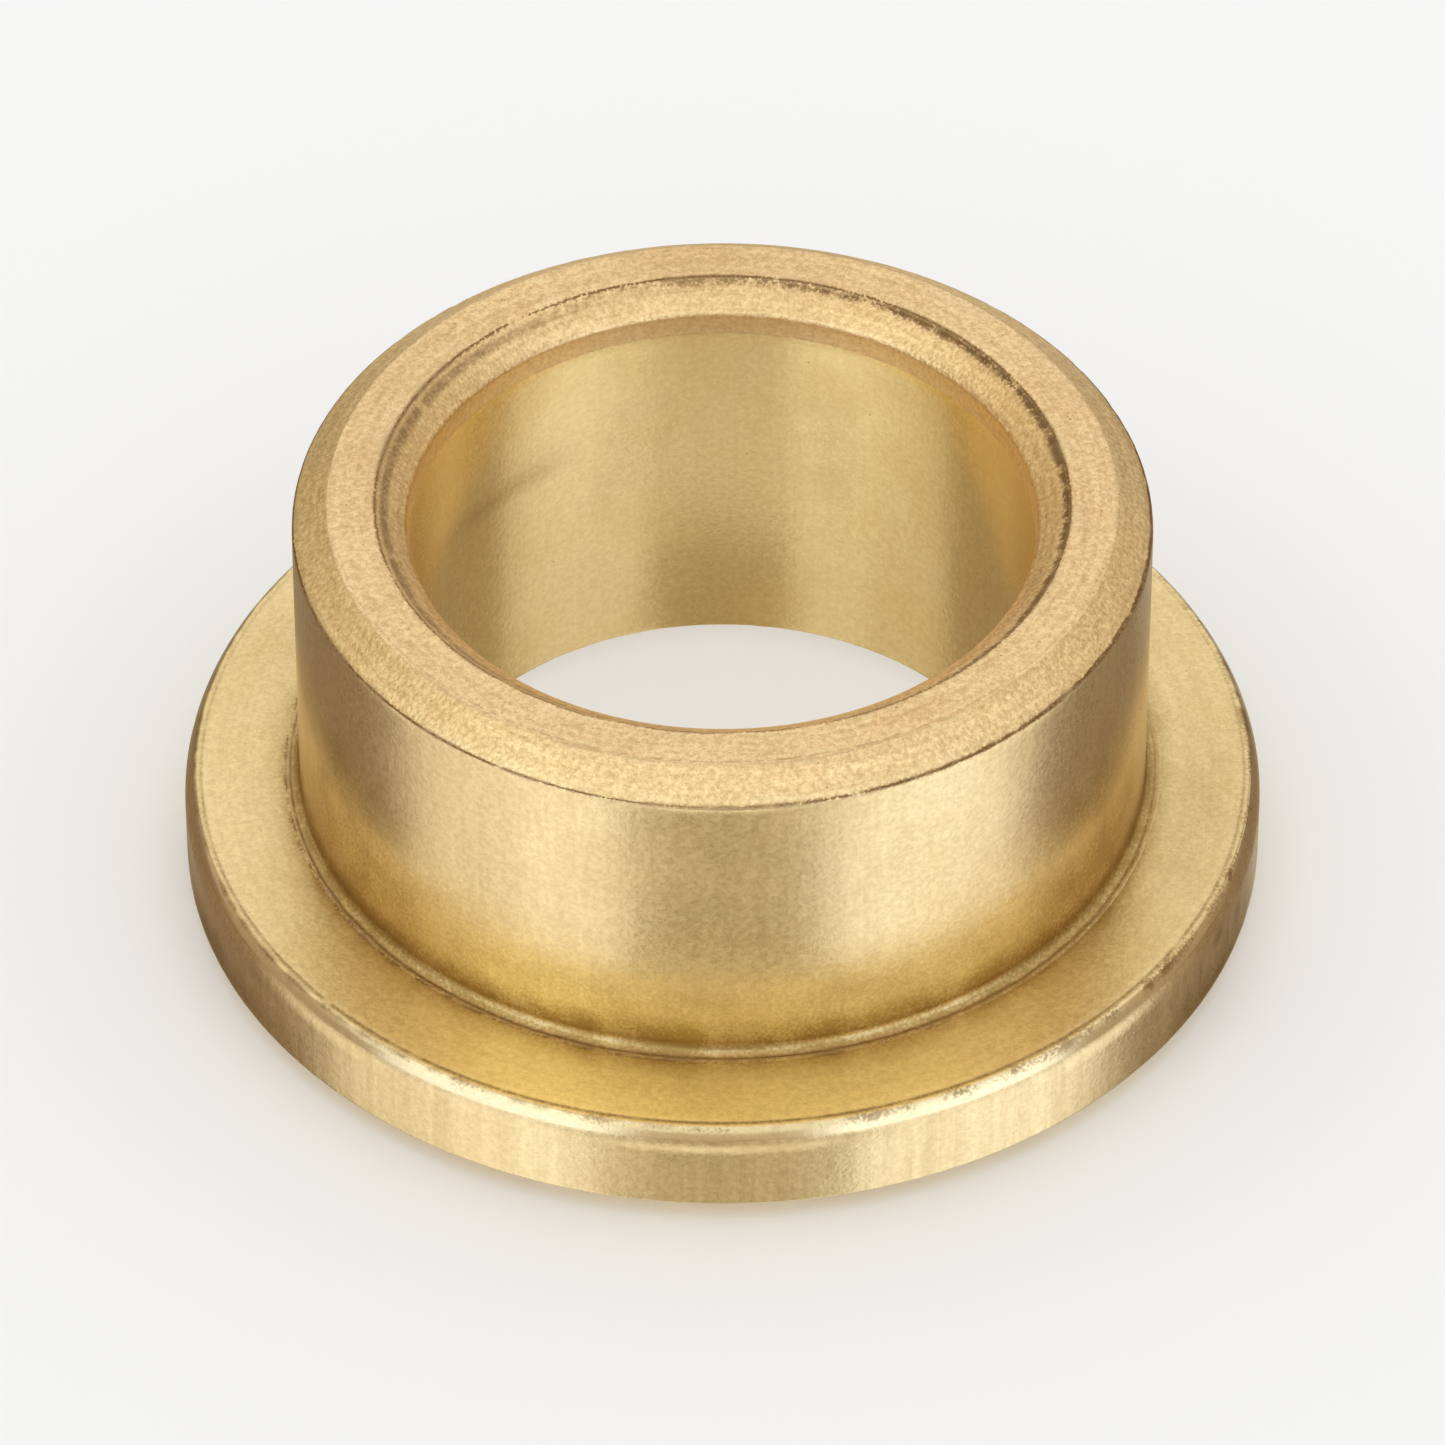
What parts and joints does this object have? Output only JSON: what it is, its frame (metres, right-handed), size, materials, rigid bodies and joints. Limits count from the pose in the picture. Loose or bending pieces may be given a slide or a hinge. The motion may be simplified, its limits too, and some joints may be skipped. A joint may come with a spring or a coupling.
{
  "type": "flanged bushing",
  "caption": "Plain bearing bush: a short round sleeve with a smooth through bore and a thin round flange at its end, chamfered where it is pressed into a housing.",
  "frame": {"origin": "centre of the bore in the plane of the flange's outer face, which the bushing stands on", "axes": "+Z along the bore axis, from the flange towards the sleeve's free end; X and Y are alike"},
  "size_m": [0.028, 0.028, 0.012],
  "materials": {
    "sintered_brass": "satin turned walls, fine-grained matte pressed faces"
  },
  "bodies": {
    "root": {"flanged_bushing": "sintered_brass"}
  },
  "joints": []
}
